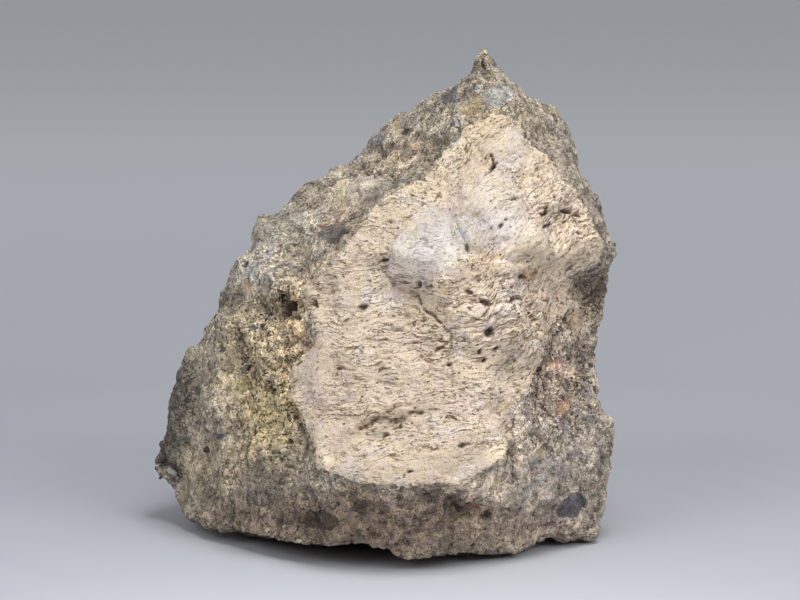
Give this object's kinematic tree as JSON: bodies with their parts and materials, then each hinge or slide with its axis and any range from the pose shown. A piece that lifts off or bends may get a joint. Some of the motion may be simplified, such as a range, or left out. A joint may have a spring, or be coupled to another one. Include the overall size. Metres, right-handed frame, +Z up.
{
  "type": "tuff",
  "caption": "Broken hand specimen of volcanic tuff: a peaked, rough block of ash rock with a large pale pumice block set in its front face.",
  "frame": {"origin": "on the ground under the middle of the stone's bounding box", "axes": "+Z up as the stone stands; the display face with the pumice block looks along -Y; +X to its right"},
  "size_m": [0.0942, 0.0845, 0.0982],
  "materials": {
    "tuff": "dull, rough broken rock: grey-brown ash with lapilli, and a cream pumice block in the front face"
  },
  "bodies": {
    "root": {"tuff": "tuff"}
  },
  "joints": []
}
